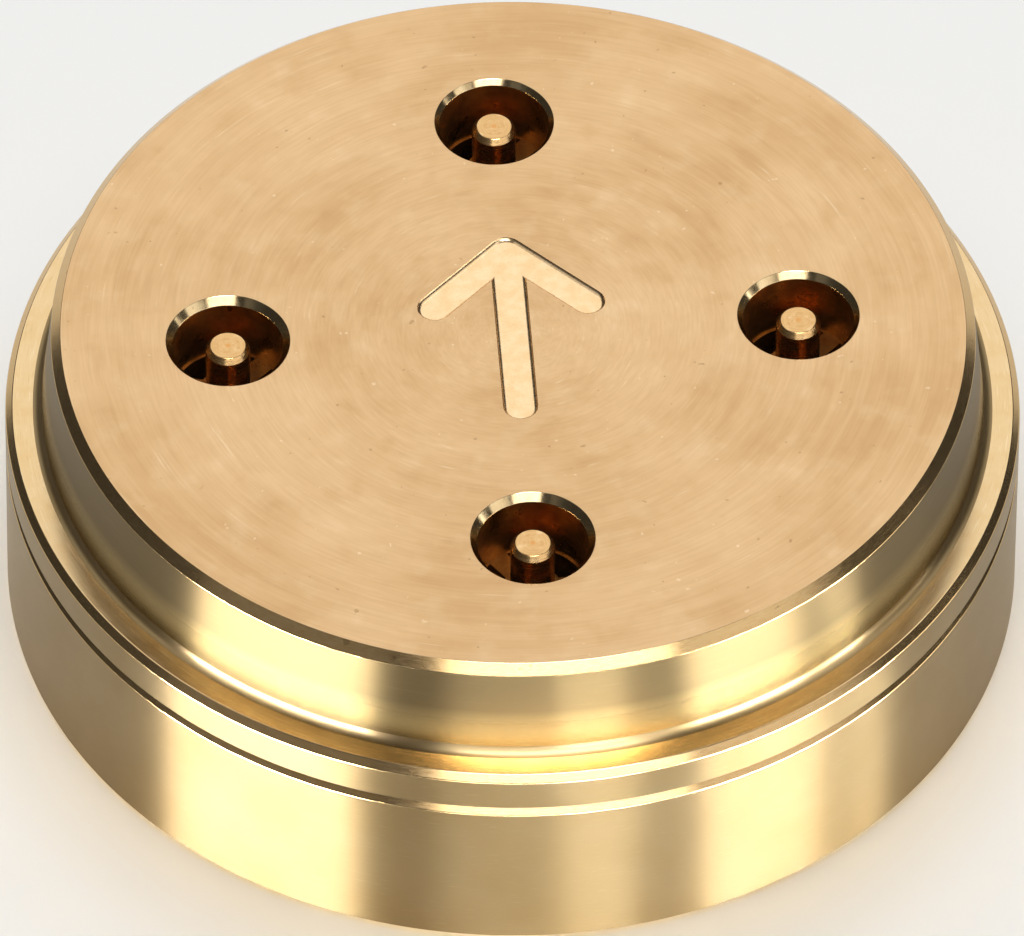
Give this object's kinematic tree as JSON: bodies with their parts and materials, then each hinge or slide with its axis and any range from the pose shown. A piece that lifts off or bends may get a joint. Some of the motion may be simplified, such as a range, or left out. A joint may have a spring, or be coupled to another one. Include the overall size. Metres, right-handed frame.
{
  "type": "pasta extrusion die",
  "caption": "Round stepped bronze pasta die in two turned halves, with core pins standing in its outlets so that dough pressed through it leaves as tubes.",
  "frame": {"origin": "centre of the inlet face that the die stands on", "axes": "+Z is the die's axis, the way the pasta leaves; the outlets lie on X and Y"},
  "size_m": [0.057, 0.057, 0.0195],
  "materials": {
    "plate_bronze": "fine turned bronze, faced front",
    "carrier_bronze": "fine turned bronze",
    "pin_bronze": "turned bronze"
  },
  "bodies": {
    "root": {"die_plate": "plate_bronze", "pin_carrier": "carrier_bronze", "core_pin_1": "pin_bronze", "core_pin_2": "pin_bronze", "core_pin_3": "pin_bronze", "core_pin_4": "pin_bronze"}
  },
  "joints": []
}
